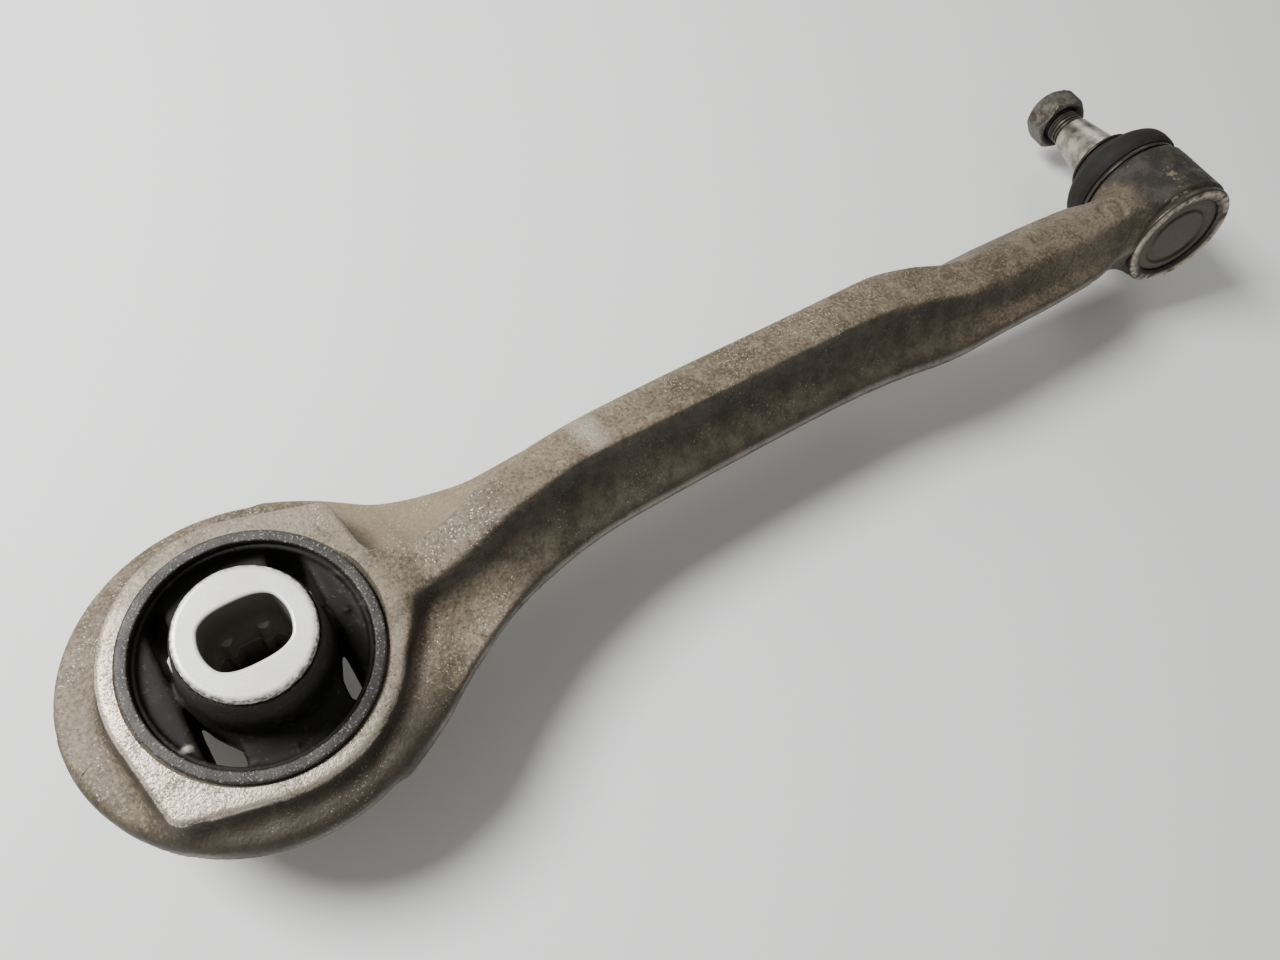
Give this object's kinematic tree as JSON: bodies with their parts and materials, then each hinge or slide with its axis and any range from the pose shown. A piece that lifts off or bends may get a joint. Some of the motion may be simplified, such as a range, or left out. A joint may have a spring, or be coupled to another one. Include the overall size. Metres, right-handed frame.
{
  "type": "control arm",
  "caption": "Forged suspension control arm with a ribbed beam, a large voided rubber bush at one end and a ball joint with boot, tapered stud and nut at the other.",
  "frame": {"origin": "centre of the bush, on its bore's axis, halfway along the core", "axes": "+Z along the bush's bore, out of the core's upper end face; +X towards the ball joint; +Y = Z x X, the side to which the stud points"},
  "size_m": [0.4523, 0.1204, 0.076],
  "materials": {
    "forged_alloy": "weathered forged skin with speckled oxide",
    "sleeve_coating": "dull dark coating with light speckles",
    "bush_rubber": "matte moulded",
    "core_alloy": "machined end faces, dull bore",
    "plate_steel": "dull stained",
    "seat_plastic": "moulded",
    "stud_steel": "turned, plated",
    "spring_wire": "dull",
    "boot_rubber": "smooth matte",
    "nut_steel": "dull, faintly stained",
    "insert_plastic": "moulded"
  },
  "bodies": {
    "arm": {"arm_forging": "forged_alloy", "bushing_outer_sleeve": "sleeve_coating", "bushing_rubber": "bush_rubber", "closing_plate": "plate_steel", "ball_seat": "seat_plastic", "boot_clamp_ring": "spring_wire"},
    "core": {"bushing_core": "core_alloy"},
    "boot": {"dust_boot": "boot_rubber"},
    "boot_ring": {"boot_neck_ring": "spring_wire"},
    "stud": {"ball_stud": "stud_steel", "stud_nut": "nut_steel", "nut_locking_insert": "insert_plastic"}
  },
  "joints": [
    {"name": "bush_twist", "type": "hinge", "parent": "arm", "child": "core", "pos_m": [0, 0, 0], "axis": [0, 0, 1], "range_deg": [-18, 18], "stiffness_Nm_per_rad": 60, "deforming": ["bushing_rubber"]},
    {"name": "stud_swing", "type": "hinge", "parent": "arm", "child": "boot", "pos_m": [0.374, 0.00052, 0.00193], "axis": [0, 0.2588, 0.9659], "range_deg": [-18, 18], "deforming": ["dust_boot"]},
    {"name": "stud_rock", "type": "hinge", "parent": "boot", "child": "boot_ring", "pos_m": [0.374, 0.00052, 0.00193], "axis": [0.9826, -0.1793, 0.0481], "range_deg": [-18, 18]},
    {"name": "stud_spin", "type": "hinge", "parent": "boot_ring", "child": "stud", "pos_m": [0.374, 0.00052, 0.00193], "axis": [0.1857, 0.9491, -0.2543], "continuous": true}
  ]
}
